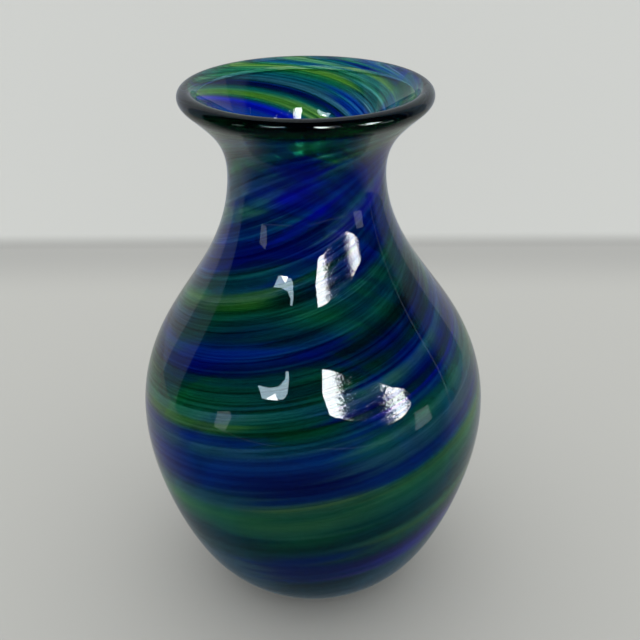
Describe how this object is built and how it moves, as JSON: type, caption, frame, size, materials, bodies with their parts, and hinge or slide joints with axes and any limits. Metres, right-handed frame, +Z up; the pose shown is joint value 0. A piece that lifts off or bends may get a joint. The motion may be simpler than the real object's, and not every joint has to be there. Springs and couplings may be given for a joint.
{
  "type": "vase",
  "caption": "Hand blown art glass vase: a round-bellied vessel with a narrow neck and a flared, beaded rim, its wall holding a rising swirl of blue, green and lime glass.",
  "frame": {"origin": "centre of the flat foot, on the surface the vase stands on", "axes": "+Z up the body's axis to the mouth; -Y is the side the swirl's heights are given on; the neck leans 1.7 mm towards -X"},
  "size_m": [0.143, 0.143, 0.22],
  "materials": {
    "clear_glass": "fire-polished, glossy",
    "rim_glass": "fire-polished, glossy",
    "cobalt_glass": "fire-polished, glossy",
    "violet_glass": "fire-polished, glossy",
    "emerald_glass": "fire-polished, glossy",
    "lime_glass": "fire-polished, glossy",
    "teal_glass": "fire-polished, glossy"
  },
  "bodies": {
    "root": {"cobalt_streak_1": "cobalt_glass", "cobalt_streak_2": "cobalt_glass", "cobalt_streak_3": "cobalt_glass", "cobalt_streak_4": "cobalt_glass", "cobalt_streak_5": "cobalt_glass", "cobalt_streak_6": "cobalt_glass", "emerald_streak_1": "emerald_glass", "emerald_streak_2": "emerald_glass", "emerald_streak_3": "emerald_glass", "emerald_streak_4": "emerald_glass", "emerald_streak_5": "emerald_glass", "inner_gather": "clear_glass", "lime_streak_1": "lime_glass", "lime_streak_2": "lime_glass", "lime_streak_3": "lime_glass", "lime_streak_4": "lime_glass", "outer_gather": "clear_glass", "rim_bead": "rim_glass", "teal_streak_1": "teal_glass", "teal_streak_2": "teal_glass", "teal_streak_3": "teal_glass", "violet_streak_1": "violet_glass", "violet_streak_2": "violet_glass"}
  },
  "joints": []
}
